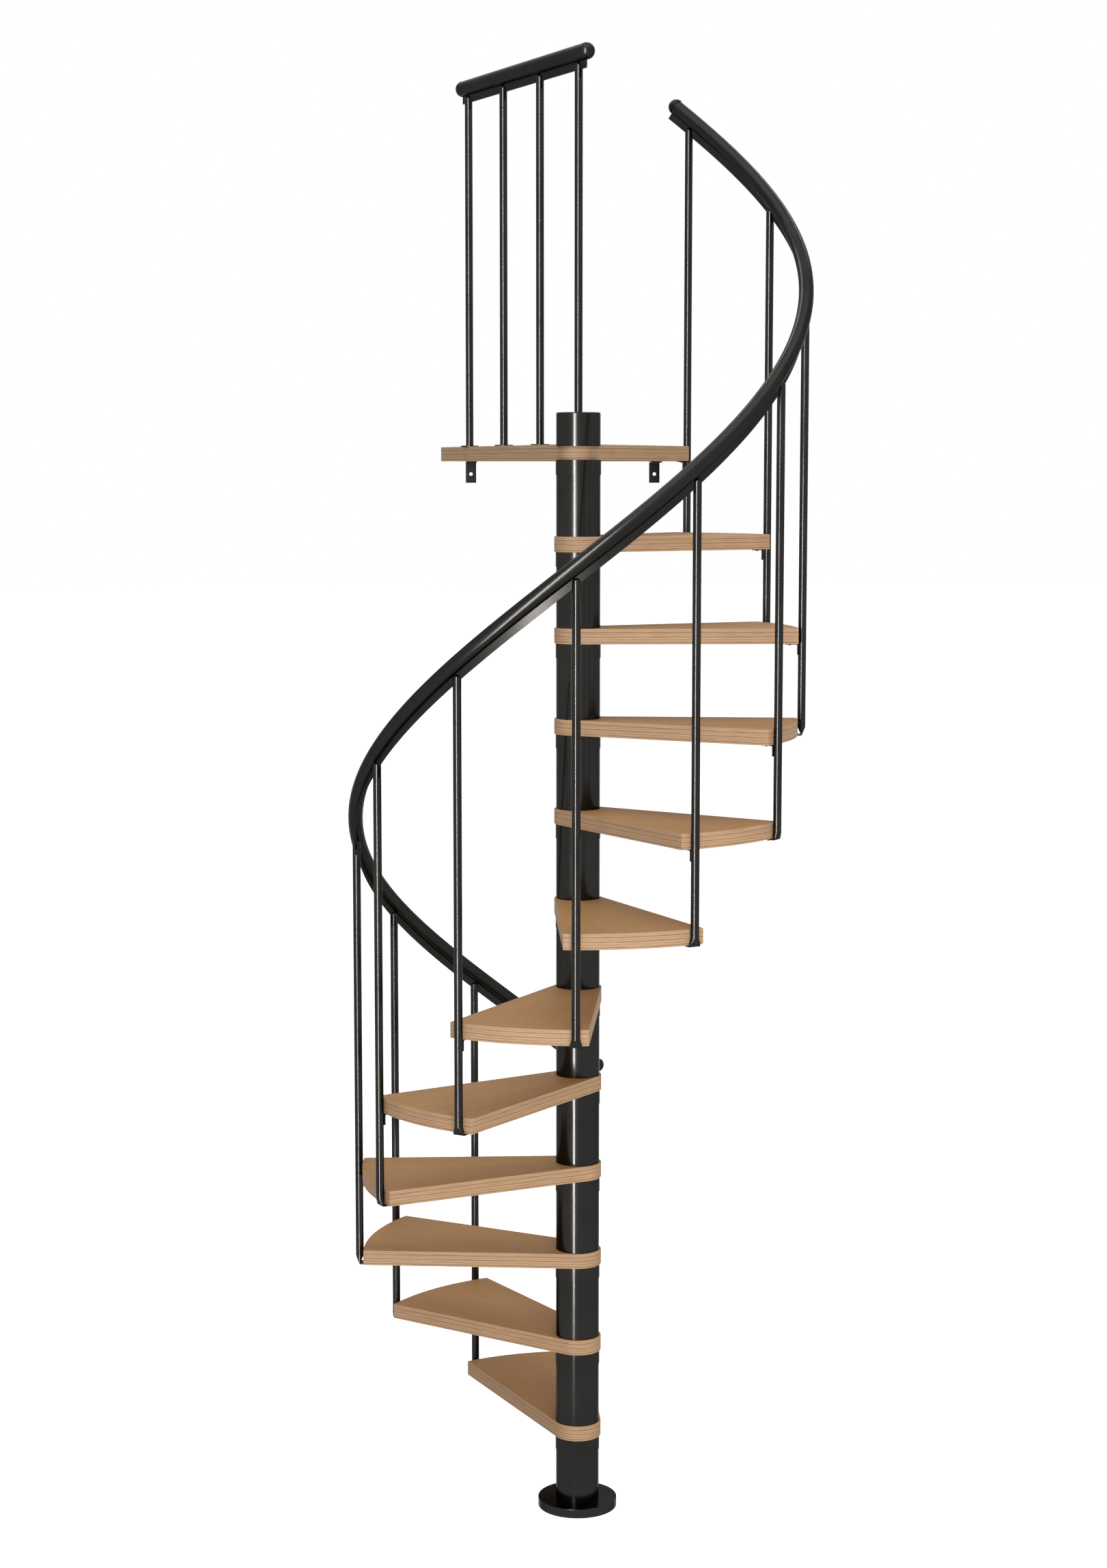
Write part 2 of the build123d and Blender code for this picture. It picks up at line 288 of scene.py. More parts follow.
def black_coat(name, dark, light, peel_scale, peel_height, softer=0.0):
    """A satin black finish with a fine skin, softer on the rail and its strip."""
    material, tree, shader = new_material(name)
    where = tree.nodes.new("ShaderNodeTexCoord")
    skin = use_group(tree, coat_group, where.outputs["Object"])
    skin.inputs["Peel scale"].default_value = peel_scale
    skin.inputs["Peel height"].default_value = peel_height
    tone = blend(tree, remap(tree, skin.outputs["Tone"], 0.3, 0.7, 0.0, 1.0), dark, light)
    tree.links.new(tone, shader.inputs["Base Color"])
    sheen = add_node(tree, "ShaderNodeMath", operation="ADD")
    tree.links.new(skin.outputs["Roughness"], sheen.inputs[0])
    sheen.inputs[1].default_value = softer
    tree.links.new(sheen.outputs[0], shader.inputs["Roughness"])
    tree.links.new(skin.outputs["Normal"], shader.inputs["Normal"])
    shader.inputs["Metallic"].default_value = 1.0
    shader.inputs["Specular Tint"].default_value = (0.5, 0.5, 0.5, 1)
    return material


black_steel = black_coat(
    "Black powder-coated steel", (0.0260, 0.0251, 0.0236, 1), (0.0320, 0.0309, 0.0290, 1),
    900, 0.004,
)
rail_cover = black_coat(
    "Black rail cover", (0.0215, 0.0209, 0.0198, 1), (0.0265, 0.0258, 0.0245, 1), 1500, 0.002,
    softer=0.07,
)
strip_black = black_coat(
    "Black rail strip", (0.0215, 0.0205, 0.0190, 1), (0.0265, 0.0253, 0.0236, 1), 900, 0.004,
    softer=0.14,
)
print("Made", black_steel.name, "and", rail_cover.name, "and", strip_black.name)

# %% [markdown]
# The hidden pipe inside the column is plain drawn steel. It stays the frame's own piece and
# gets a drawn finish: noise stretched along the pipe.

# %% Drawn steel for the inner pipe
drawn_steel, tree, shader = new_material("Drawn steel")
where = tree.nodes.new("ShaderNodeTexCoord")
stretch = add_node(tree, "ShaderNodeMapping", Scale=(900, 900, 6))
tree.links.new(where.outputs["Object"], stretch.inputs["Vector"])
lines = noise(tree, stretch.outputs["Vector"], 1.0)
steel_tone = blend(tree, lines, (0.30, 0.30, 0.30, 1), (0.5, 0.5, 0.49, 1))
tree.links.new(steel_tone, shader.inputs["Base Color"])
tree.links.new(remap(tree, lines, 0, 1, 0.3, 0.5), shader.inputs["Roughness"])
shader.inputs["Metallic"].default_value = 1.0
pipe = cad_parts["centre_pipe"]
pipe.data.materials.clear()
pipe.data.materials.append(drawn_steel)
print("The inner pipe is", drawn_steel.name)

# %% [markdown]
# ### Wood
#
# Every board carries an attribute, `board`, with its own drawing coordinates: X along the
# board, Y across it and Z up from its underside. The grain follows that, so it turns with
# each tread. The broad faces are a warm brown veneer with long soft streaks. The edges
# are paler and show the layers that the board was glued from.

# %% The grain group
grain_group, grain_in, grain_out = new_group(
    "Wood grain",
    [("Vector", "NodeSocketVector", None)],
    [("Streaks", "NodeSocketFloat"), ("Pores", "NodeSocketFloat"), ("Patches", "NodeSocketFloat")],
)
long_way = add_node(grain_group, "ShaderNodeMapping", Scale=(2.2, 26.0, 26.0))
grain_group.links.new(grain_in.outputs["Vector"], long_way.inputs["Vector"])
fine_way = add_node(grain_group, "ShaderNodeMapping", Scale=(45.0, 420.0, 420.0))
grain_group.links.new(grain_in.outputs["Vector"], fine_way.inputs["Vector"])
streaks = noise(grain_group, long_way.outputs["Vector"], 1.0, detail=5.0, roughness=0.62)
pores = noise(grain_group, fine_way.outputs["Vector"], 1.0, detail=2.0)
patches = noise(grain_group, grain_in.outputs["Vector"], 9.0, detail=2.0)
grain_group.links.new(streaks, grain_out.inputs["Streaks"])
grain_group.links.new(pores, grain_out.inputs["Pores"])
grain_group.links.new(patches, grain_out.inputs["Patches"])

# %% Veneer for the broad faces
veneer, tree, shader = new_material("Brown wood face")
board = add_node(tree, "ShaderNodeAttribute", attribute_name="board")
grain = use_group(tree, grain_group, board.outputs["Vector"])
streaky = remap(tree, grain.outputs["Streaks"], 0.3, 0.7, 0, 1)
patchy = remap(tree, grain.outputs["Patches"], 0.35, 0.65, 0, 0.3)
porous = remap(tree, grain.outputs["Pores"], 0.55, 0.75, 0, 0.25)
ground = blend(tree, streaky, (0.372, 0.198, 0.076, 1), (0.422, 0.232, 0.092, 1))
ground = blend(tree, patchy, ground, (0.400, 0.207, 0.075, 1))
ground = blend(tree, porous, ground, (0.20, 0.115, 0.06, 1))
tree.links.new(ground, shader.inputs["Base Color"])
tree.links.new(remap(tree, grain.outputs["Pores"], 0.3, 0.7, 0.55, 0.7), shader.inputs["Roughness"])
add_bump(tree, shader, grain.outputs["Pores"], 0.12)
shader.inputs["Specular IOR Level"].default_value = 0.1
print("Made", veneer.name)

# %% [markdown]
# The layer lines sit at the same heights in every board. A colour ramp over the height
# holds them, dark for the strong glue lines and half dark for the faint ones. Slow noise
# bends the lines a little, and a second one lets them fade and return along the edge.

# %% The glue line group
line_group, line_in, line_out = new_group(
    "Glue lines",
    [("Vector", "NodeSocketVector", None), ("Wander", "NodeSocketFloat", 0.0007)],
    [("Lines", "NodeSocketFloat"), ("Fade", "NodeSocketFloat")],
)
split = line_group.nodes.new("ShaderNodeSeparateXYZ")
line_group.links.new(line_in.outputs["Vector"], split.inputs["Vector"])
along_edge = add_node(line_group, "ShaderNodeMapping", Scale=(12.0, 12.0, 60.0))
line_group.links.new(line_in.outputs["Vector"], along_edge.inputs["Vector"])
bend = noise(line_group, along_edge.outputs["Vector"], 1.0, detail=2.0)
wander = add_node(line_group, "ShaderNodeMath", operation="MULTIPLY")
line_group.links.new(remap(line_group, bend, 0, 1, -1, 1), wander.inputs[0])
line_group.links.new(line_in.outputs["Wander"], wander.inputs[1])
height = add_node(line_group, "ShaderNodeMath", operation="ADD")
line_group.links.new(split.outputs["Z"], height.inputs[0])
line_group.links.new(wander.outputs[0], height.inputs[1])
share = remap(line_group, height.outputs[0], 0.0, BOARD * MM, 0.0, 1.0)
ramp = line_group.nodes.new("ShaderNodeValToRGB")
line_group.links.new(share, ramp.inputs["Fac"])
for at, depth, half_width in (
    (0.135, 1.0, 0.021), (0.30, 0.55, 0.018), (0.475, 0.95, 0.022),
    (0.62, 0.40, 0.018), (0.757, 1.0, 0.024), (0.885, 0.38, 0.015),
):
    for offset, value in ((-1.5, 0.0), (-0.4, depth), (0.4, depth), (1.5, 0.0)):
        stop = ramp.color_ramp.elements.new(at + half_width * offset)
        stop.color = (value, value, value, 1)
ramp.color_ramp.elements[0].color = (0, 0, 0, 1)
ramp.color_ramp.elements[-1].color = (0, 0, 0, 1)
fade = noise(line_group, along_edge.outputs["Vector"], 2.3, detail=2.0)
line_group.links.new(ramp.outputs["Color"], line_out.inputs["Lines"])
line_group.links.new(fade, line_out.inputs["Fade"])

# %% Laminated edge
layered, tree, shader = new_material("Layered wood edge")
board = add_node(tree, "ShaderNodeAttribute", attribute_name="board")
glue = use_group(tree, line_group, board.outputs["Vector"])
fibre_way = add_node(tree, "ShaderNodeMapping", Scale=(16.0, 16.0, 640.0))
tree.links.new(board.outputs["Vector"], fibre_way.inputs["Vector"])
fibres = noise(tree, fibre_way.outputs["Vector"], 1.0, detail=3.0)
fibrous = remap(tree, fibres, 0.3, 0.7, 0, 1)
pale = blend(tree, fibrous, (0.320, 0.197, 0.110, 1), (0.440, 0.285, 0.166, 1))
strength = add_node(tree, "ShaderNodeMath", operation="MULTIPLY")
tree.links.new(glue.outputs["Lines"], strength.inputs[0])
tree.links.new(remap(tree, glue.outputs["Fade"], 0.3, 0.7, 0.7, 1.0), strength.inputs[1])
edge_colour = blend(tree, strength.outputs[0], pale, (0.150, 0.080, 0.048, 1))
tree.links.new(edge_colour, shader.inputs["Base Color"])
tree.links.new(remap(tree, fibres, 0.3, 0.7, 0.5, 0.65), shader.inputs["Roughness"])
add_bump(tree, shader, fibres, 0.1)
shader.inputs["Specular IOR Level"].default_value = 0.1
print("Made", layered.name, "with", len(ramp.color_ramp.elements), "stops for its layers")

# %% [markdown]
# ## The column
#
# The base plate is a turned disc. Above it stand twelve equal tubes, one between each pair
# of boards, sunk a few millimetres into the board below. A slightly wider collar rings
# the head of each, tight under the wood. All of it is lathe work.

# %% Base plate
BASE_RADIUS = 104.5
BASE_TOP = 24.0
SOCKET_FLOOR = 10.0
PIPE_BORE = 24.5
socket = [(PIPE_BORE, BASE_TOP), (PIPE_BORE, SOCKET_FLOOR), (0, SOCKET_FLOOR)]
base = turned([(0, 0), (BASE_RADIUS, 0), (BASE_RADIUS, BASE_TOP)] + socket, steps=128)
soften(base, 1.2)
place(base, "base_disc", [black_steel], ["base_plate"], matrix=spoke(0))

# %% Riser tubes and collars


def tube_length(inner, outer, foot, head):
    """A plain length of tube."""
    profile = [(inner, foot), (outer, foot), (outer, head), (inner, head)]
    return turned(profile, steps=96, closed=True)


tubes = bmesh.new()
collars = bmesh.new()
for k in range(TREADS + 1):
    foot = BASE_TOP if k == 0 else RISE * k - SEAT_DEPTH
    head = RISE * (k + 1) - BOARD
    gather(tubes, tube_length(BORE, COLUMN, foot, head), spoke(0))
    ring = tube_length(57.1, 58.5, head - 38, head)
    soften(ring, 0.6, segments=2)
    gather(collars, ring, spoke(0))
place(tubes, "column_tubes", [black_steel], ["riser_tubes"])
place(collars, "column_rings", [black_steel], ["column_collars"])
print("The column has", TREADS + 1, "tubes")

# %% Top tube and cap
foot, head = LANDING_TOP - SEAT_DEPTH, COLUMN_TOP - LID
top_tube = tube_length(BORE, COLUMN, foot, head)
place(top_tube, "column_top_tube", [black_steel], ["top_post"], matrix=spoke(0))
lid_round = 3.5
rim = arc_points((COLUMN - lid_round, COLUMN_TOP - lid_round), lid_round, 0, 90, 6)
cap = turned([(0, head), (COLUMN, head)] + rim + [(0, COLUMN_TOP)], steps=96)
place(cap, "column_lid", [black_steel], ["column_cap"], matrix=spoke(0))

# %% [markdown]
# ## Treads
#
# A tread is a wedge with a round nose. Its outline is two arcs joined by straight sides, so
# two single points are spun into arcs and joined. The top is filled round a hole, because
# a shallow seat and the pipe's bore are cut there. The walls are the outline pulled down.

# %% A board from its outline
EDGE_ROUND = 1.5


def arc(bm, centre, radius, start, sweep, steps):
    """Spins one point into an arc and returns the arc's two ends."""
    a = radians(start)
    first = bm.verts.new((centre[0] + radius * cos(a), centre[1] + radius * sin(a), 0))
    spun = bmesh.ops.spin(
        bm, geom=[first], cent=(*centre, 0), axis=(0, 0, 1), angle=radians(sweep), steps=steps
    )
    return first, verts_in(spun["geom_last"])[0]


def pull(bm, edges, shift, scale=1.0):
    """Extrudes a loop of edges, moves it and scales it about the column's axis."""
    pulled = bmesh.ops.extrude_edge_only(bm, edges=edges)["geom"]
    bmesh.ops.translate(bm, verts=verts_in(pulled), vec=shift)
    bmesh.ops.scale(bm, verts=verts_in(pulled), vec=(scale, scale, 1))
    return edges_in(pulled)


def board_from(bm, outline, seat=COLUMN + 0.3):
    """Closes an outline into a board with a round seat and a bore, and softens its rims."""
    ring = bmesh.ops.create_circle(bm, radius=seat, segments=64)["verts"]
    mouth = list({e for v in ring for e in v.link_edges})
    bmesh.ops.triangle_fill(bm, edges=outline + mouth, use_beauty=True)
    foot = pull(bm, outline, (0, 0, -BOARD))
    floor = pull(bm, mouth, (0, 0, -SEAT_DEPTH))
    throat = pull(bm, floor, (0, 0, 0), PIPE_BORE / seat)
    bottom = pull(bm, throat, (0, 0, SEAT_DEPTH - BOARD))
    bmesh.ops.triangle_fill(bm, edges=foot + bottom, use_beauty=True)
    bmesh.ops.recalc_face_normals(bm, faces=bm.faces)
    soften(bm, EDGE_ROUND, where=lambda p: p.xy.length > seat + 1)


def finish_board(bm, name, node, matrix, seed):
    """Writes the board's own coordinates, gives its faces their wood and places it."""
    own = bm.verts.layers.float_vector.new("board")
    for v in bm.verts:
        v[own] = Vector((v.co.x + seed * 777, v.co.y + seed * 310, v.co.z + BOARD)) * MM
    for face in bm.faces:
        face.material_index = 0 if abs(face.normal.z) > 0.9 else 1
    place(bm, name, [veneer, layered], [node], matrix)


# %% Eleven treads
half_angle = 18.14
nose = 62.0
rim_radius = 567.5
side = half_angle + acos(nose / rim_radius) * 180 / pi
for n in range(1, TREADS + 1):
    tread = bmesh.new()
    rim_start, rim_end = arc(tread, (0, 0), rim_radius, -half_angle, 2 * half_angle, 28)
    nose_start, nose_end = arc(tread, (0, 0), nose, side, 360 - 2 * side, 36)
    tread.edges.new((rim_end, nose_start))
    tread.edges.new((nose_end, rim_start))
    board_from(tread, list(tread.edges))
    at = spoke(FIRST_TREAD + (n - 1) * TURN, 0, RISE * n)
    finish_board(tread, f"step_{n:02d}", f"tread_{n:02d}", at, n)
print("Placed", TREADS, "treads, each", BOARD, "mm thick")

# %% [markdown]
# ## Landing board
#
# The landing is the same board with longer sides and a straight back. Its nose is smaller
# than the column, so the column's top tube covers it. The right edge has a round notch
# where the last baluster passes. The notch is an arc in the outline.

# %% The landing
left_side = Vector((-0.354, 1)).normalized()
right_side = Vector((0.641, 1)).normalized()
nose_centre = Vector((-6.0, 0.8))
nose_radius = 41.0
corner_depth = 458.0
notch_radius = 10.6
nose_left = nose_centre + Vector((-left_side.y, left_side.x)) * nose_radius
nose_right = nose_centre + Vector((right_side.y, -right_side.x)) * nose_radius
left_back = nose_left + left_side * ((LANDING_BACK - nose_left.y) / left_side.y)
corner = nose_right + right_side * ((corner_depth - nose_right.y) / right_side.y)
last = spoke(FIRST_BALUSTER + TREADS * TURN, BALUSTER_RING).translation.xy / MM
back_right = Vector((374, LANDING_BACK))
edge_way = (back_right - corner).normalized()
nearest = (last - corner).dot(edge_way)
aside = (last - corner - edge_way * nearest).length
reach = (notch_radius**2 - aside**2) ** 0.5
notch_from = corner + edge_way * (nearest - reach)
notch_to = corner + edge_way * (nearest + reach)
print("The notch opens", round(2 * reach, 1), "mm wide in the right edge")

# %% Its outline and walls


def bearing(way):
    """The angle of a direction on the plan, in degrees from the X axis."""
    return Vector((1, 0)).angle_signed(way) * -180 / pi


landing = bmesh.new()
start, end = bearing(nose_left - nose_centre), bearing(nose_right - nose_centre)
nose_a, nose_b = arc(landing, tuple(nose_centre), nose_radius, start, (end - start) % 360, 24)
start, end = bearing(notch_from - last), bearing(notch_to - last)
notch_a, notch_b = arc(landing, tuple(last), notch_radius, start, -((start - end) % 360), 20)
corners = [landing.verts.new((*p, 0)) for p in (corner, back_right, left_back)]
chain = [nose_b, corners[0], notch_a]
chain_back = [notch_b, corners[1], corners[2], nose_a]
for run in (chain, chain_back):
    for pair in zip(run, run[1:]):
        landing.edges.new(pair)
rim_loop = list(landing.edges)
bmesh.ops.triangle_fill(landing, edges=rim_loop, use_beauty=True)
foot = pull(landing, rim_loop, (0, 0, -BOARD))
bmesh.ops.triangle_fill(landing, edges=foot, use_beauty=True)
bmesh.ops.recalc_face_normals(landing, faces=landing.faces)
soften(landing, EDGE_ROUND)
finish_board(landing, "landing_deck", "landing_board", spoke(0, 0, LANDING_TOP), 12)

# %% [markdown]
# ## Balusters
#
# A baluster is one tube. Its top is domed and slotted to grip the strip under the handrail.
# Its foot is crushed flat, which spreads it sideways, and bent in under the tread. The ring
# of points at the bottom of the tube is squeezed while it is pulled down, then spun a
# quarter turn about a level axis to make the bend. The slot is three cuts, and its cheeks
# and floor are filled again. The first baluster stands on the floor on a round flange.

# %% The tube with its domed and slotted top


def slotted_tube(bottom, top, slot_floor, slot_way):
    """A closed tube with a domed top, slotted along X or Y, open at its lower end."""
    dome = arc_points((0, top - TUBE), TUBE, 0, 90, 8)
    bm = bmesh.new()
    verts = [bm.verts.new((max(r, 0), 0, z)) for r, z in [(TUBE, bottom)] + dome]
    edges = [bm.edges.new(pair) for pair in zip(verts, verts[1:])]
    bmesh.ops.spin(
        bm, geom=verts + edges, cent=(0, 0, 0), axis=(0, 0, 1), angle=tau, steps=32, use_merge=True
    )
    bmesh.ops.remove_doubles(bm, verts=bm.verts, dist=1e-3)
    wall = Vector((1, 0, 0)) if slot_way == "Y" else Vector((0, 1, 0))
    gap = SLOT / 2
    up = (0, 0, 1)
    for point, normal in (((0, 0, slot_floor), up), (wall * gap, wall), (wall * -gap, wall)):
        head = [f for f in bm.faces if f.calc_center_median().z > slot_floor - 60 or normal == up]
        geom = head + list({e for f in head for e in f.edges} | {v for f in head for v in f.verts})
        bmesh.ops.bisect_plane(bm, geom=geom, dist=1e-4, plane_co=point, plane_no=normal)
    gone = [
        f for f in bm.faces
        if f.calc_center_median().z > slot_floor and abs(f.calc_center_median().dot(wall)) < gap
    ]
    bmesh.ops.delete(bm, geom=gone, context="FACES")

    def on_cheek(v, side):
        return v.co.z > slot_floor - 1e-3 and abs(v.co.dot(wall) - side * gap) < 1e-3

    def on_floor(v):
        return abs(v.co.z - slot_floor) < 1e-3 and abs(v.co.dot(wall)) < gap + 0.01

    for side in (1, -1):
        cheek = [e for e in bm.edges if e.is_boundary and all(on_cheek(v, side) for v in e.verts)]
        floor_ends = sorted(
            {v for e in cheek for v in e.verts if abs(v.co.z - slot_floor) < 1e-3},
            key=lambda v: v.co.x + v.co.y,
        )
        if len(floor_ends) == 2:
            cheek.append(bm.edges.new(floor_ends))
        bmesh.ops.contextual_create(bm, geom=cheek)
    floor_edges = [
        e for e in bm.edges
        if (e.is_boundary or e.is_wire) and all(on_floor(v) for v in e.verts)
    ]
    bmesh.ops.contextual_create(bm, geom=floor_edges)
    bmesh.ops.recalc_face_normals(bm, faces=bm.faces)
    return bm


# %% The crushed and bent foot
CRUSH_STEPS = 6
SPREAD = 0.49
INNER_BEND = 0.6


def crush_foot(bm, bottom, under, thickness=3.6, reach=40.0):
    """Squeezes the open end flat, bends it inward and runs it under the board."""
    half_thick = thickness / 2
    ring = [
        e for e in bm.edges if e.is_boundary and all(abs(v.co.z - bottom) < 1e-3 for v in e.verts)
    ]
    depth = bottom - under
    for step in range(1, CRUSH_STEPS + 1):
        share = step / CRUSH_STEPS
        pulled = bmesh.ops.extrude_edge_only(bm, edges=ring)["geom"]
        ring_verts = verts_in(pulled)
        ring = edges_in(pulled)
        for v in ring_verts:
            limit = TUBE + (half_thick - TUBE) * share
            v.co.z = bottom - depth * share
            v.co.y *= (1 + SPREAD * share) / (1 + SPREAD * (share - 1 / CRUSH_STEPS))
            v.co.x = max(-limit, min(limit, v.co.x))
    bend_at = Vector((-half_thick - INNER_BEND, 0, under))
    spun = bmesh.ops.spin(
        bm, geom=ring_verts + ring, cent=bend_at, axis=(0, 1, 0), angle=pi / 2, steps=5
    )
    tab = bmesh.ops.extrude_edge_only(bm, edges=edges_in(spun["geom_last"]))["geom"]
    inner = min(v.co.x for v in verts_in(tab))
    bmesh.ops.translate(bm, verts=verts_in(tab), vec=(-reach - inner, 0, 0))
    bmesh.ops.contextual_create(bm, geom=edges_in(tab))
    bmesh.ops.recalc_face_normals(bm, faces=bm.faces)


# %% Twelve balusters
BALUSTER_TOP = 1090.7
SLOT_FLOOR = 1053.0
FLARE = 19.0
BEND_LIFT = 1.2
FLANGE = [(0, 0), (25, 0), (25, 3), (9.9, 3), (9.9, 1), (0, 1)]


def close_foot(bm, flanged):
    """Closes a tube's open end, and sets it on a round flange where it has one."""
    bmesh.ops.contextual_create(bm, geom=[e for e in bm.edges if e.is_boundary])
    if flanged:
        flange = turned(FLANGE, steps=48)
        soften(flange, 0.6, segments=2)
        gather(bm, flange, Matrix())
    bmesh.ops.recalc_face_normals(bm, faces=bm.faces)


for n in range(TREADS + 1):
    bottom = 0.0 if n == 0 else FLARE - BOARD
    baluster = slotted_tube(bottom, BALUSTER_TOP, SLOT_FLOOR, "Y")
    if n == 0:
        close_foot(baluster, flanged=True)
    else:
        crush_foot(baluster, bottom, -BOARD + BEND_LIFT)
    at = spoke(FIRST_BALUSTER + n * TURN, BALUSTER_RING, RISE * n)
    place(baluster, f"rail_post_{n:02d}", [black_steel], [f"baluster_{n:02d}"], matrix=at)
print("Placed", TREADS + 1, "balusters")

# %% [markdown]
# ## Handrail
#
# The rail is one section swept up a helix. Spin does it exactly when every step also
# climbs a little: the section is tilted to stand square to the slope, then turned round
# the column. The section is a circle with a groove in its underside, and the flat strip
# sits in the groove. The rail comes in three lengths with a thin joint between them.

# %% A section swept up a helix
SLOPE = atan(RISE / (radians(TURN) * BALUSTER_RING))
RAIL_FROM = -0.19
RAIL_TO = 11.13
RAIL_LIFT = 1117.6
RAIL_RADIUS = 19.0
GROOVE_DEPTH = 3.0
JOINT = 0.4
STEP_ALONG = 382.1


def grooved_ring(radius, steps=48):
    """Points of a round section with a groove at its lowest side, as (outward, up)."""
    opening = asin(SLOT / 2 / radius) * 180 / pi
    around = arc_points((0, 0), radius, -90 + opening, 270 - opening, steps)
    floor = -radius + GROOVE_DEPTH
    return around + [(-SLOT / 2, floor), (SLOT / 2, floor)]


def flat_bar(bottom, top, half=2.0, corner=0.6):
    """Points of the strip's section, its two lower corners cut."""
    return [
        (corner - half, bottom), (half - corner, bottom), (half, bottom + corner),
        (half, top), (-half, top), (-half, bottom + corner),
    ]


def sweep_helix(section, name, material, node, lengths):
    """Sweeps a closed section round the column, climbing with the stair."""
    bm = bmesh.new()
    for start, stop in lengths:
        run = bmesh.new()
        face = run.faces.new([run.verts.new((x, 0, y)) for x, y in section])
        lean = Matrix.Rotation(SLOPE, 3, "X")
        bmesh.ops.rotate(run, verts=run.verts, cent=(0, 0, 0), matrix=lean)
        bmesh.ops.translate(run, verts=run.verts, vec=(BALUSTER_RING, 0, 0))
        bmesh.ops.duplicate(run, geom=[face] + list(face.edges) + list(face.verts))
        steps = round((stop - start) * 20)
        spun = bmesh.ops.spin(
            run, geom=list(face.edges), cent=(0, 0, 0), axis=(0, 0, 1),
            angle=radians((stop - start) * TURN), steps=steps,
            dvec=(0, 0, RISE * (stop - start) / steps),
        )
        bmesh.ops.contextual_create(run, geom=edges_in(spun["geom_last"]))
        bmesh.ops.remove_doubles(run, verts=run.verts, dist=1e-3)
        bmesh.ops.recalc_face_normals(run, faces=run.faces)
        foot = Matrix.Translation((0, 0, RISE * start + RAIL_LIFT))
        gather(bm, run, foot @ Matrix.Rotation(radians(FIRST_BALUSTER + start * TURN), 4, "Z"))
    place(bm, name, [material], [node], Matrix.Scale(MM, 4), sharp=50)


joint = JOINT / STEP_ALONG
lengths = ((RAIL_FROM, 4 - joint), (4, 8 - joint), (8, RAIL_TO))
sweep_helix(grooved_ring(RAIL_RADIUS), "stair_rail", rail_cover, "handrail", lengths)
strip = flat_bar(-37.1, GROOVE_DEPTH - RAIL_RADIUS)
whole = ((RAIL_FROM, RAIL_TO),)
sweep_helix(strip, "stair_rail_strip", strip_black, "handrail_strip", whole)
print("The rail is", len(lengths), "lengths on one strip")

# %% [markdown]
# Each end of the rail has a round cap, a little larger than the tube. It is a half ball
# with a rolled rim, turned about Z and then laid along the rail.

# %% Rail caps


def end_cap(radius, plug):
    """A domed cap that points up Z, with its plug below."""
    dome = arc_points((0, 0), radius, 0, 90, 12)[:-1] + [(0, radius)]
    return turned([(0, -14), (plug, -14), (plug, 0), (radius - 0.8, -0.5)] + dome, steps=48)


def lay_along(origin, way):
    """Place whose Z axis points along a direction, in metres."""
    turn = Vector(way).to_track_quat("Z", "Y").to_matrix().to_4x4()
    return Matrix.Translation(Vector(origin) * MM) @ turn @ Matrix.Scale(MM, 4)


for name, node, n, way in (
    ("stair_rail_cap_low", "handrail_cap_lower", RAIL_FROM, -1),
    ("stair_rail_cap_high", "handrail_cap_upper", RAIL_TO, 1),
):
    a = radians(FIRST_BALUSTER + n * TURN)
    point = (BALUSTER_RING * cos(a), BALUSTER_RING * sin(a), RISE * n + RAIL_LIFT)
    tangent = Vector((-sin(a) * cos(SLOPE), cos(a) * cos(SLOPE), sin(SLOPE))) * way
    place(end_cap(21.0, 14.7), name, [rail_cover], [node], lay_along(point, tangent))

# %% [markdown]
# ## The rail over the landing
#
# A straight, slightly thicker rail runs from above the column to the back of the landing.
# It has the same groove and strip, two caps and four posts. Three posts stand on round
# flanges on the board, and the first stands on the column's cap.

# %% Straight rail, strip and caps
RAIL_WAY = 112.28
RAIL_Z = 3799.2
LANDING_RAIL_RADIUS = 21.0
rail_from, rail_to = -43.6, 718.5


def straight(section, name, material, node):
    """Pulls a section along the landing rail's line."""
    bm = bmesh.new()
    face = bm.faces.new([bm.verts.new((0, x, y)) for x, y in section])
    pulled = bmesh.ops.extrude_face_region(bm, geom=[face])["geom"]
    bmesh.ops.translate(bm, verts=verts_in(pulled), vec=(rail_to - rail_from, 0, 0))
    bmesh.ops.translate(bm, verts=bm.verts, vec=(rail_from, 0, 0))
    bmesh.ops.recalc_face_normals(bm, faces=bm.faces)
    place(bm, name, [material], [node], spoke(RAIL_WAY, 0, RAIL_Z), sharp=50)


round_rail = grooved_ring(LANDING_RAIL_RADIUS)
straight(round_rail, "landing_rail", rail_cover, "landing_handrail")
flat_strip = flat_bar(-41.2, GROOVE_DEPTH - LANDING_RAIL_RADIUS)
straight(flat_strip, "landing_rail_strip", strip_black, "landing_strip")
for name, node, along, way in (
    ("landing_rail_cap_front", "landing_cap_front", rail_from, -1),
    ("landing_rail_cap_back", "landing_cap_back", rail_to, 1),
):
    point = spoke(RAIL_WAY, along, RAIL_Z).translation / MM
    tangent = Vector((cos(radians(RAIL_WAY)), sin(radians(RAIL_WAY)), 0)) * way
    place(end_cap(21.5, 16.7), name, [rail_cover], [node], lay_along(point, tangent))

# %% Posts and flanges
POST_SPACING = 227.8
POST_SLOT_FLOOR = 3738.5
for m in range(4):
    foot = COLUMN_TOP if m == 0 else LANDING_TOP
    top = RAIL_Z - LANDING_RAIL_RADIUS - foot
    post = slotted_tube(0, top, POST_SLOT_FLOOR - foot, "X")
    close_foot(post, flanged=m > 0)
    at = spoke(RAIL_WAY, POST_SPACING * m, foot)
    place(post, f"landing_upright_{m + 1}", [black_steel], [f"landing_post_{m + 1}"], matrix=at)
print("The landing rail stands on four posts")

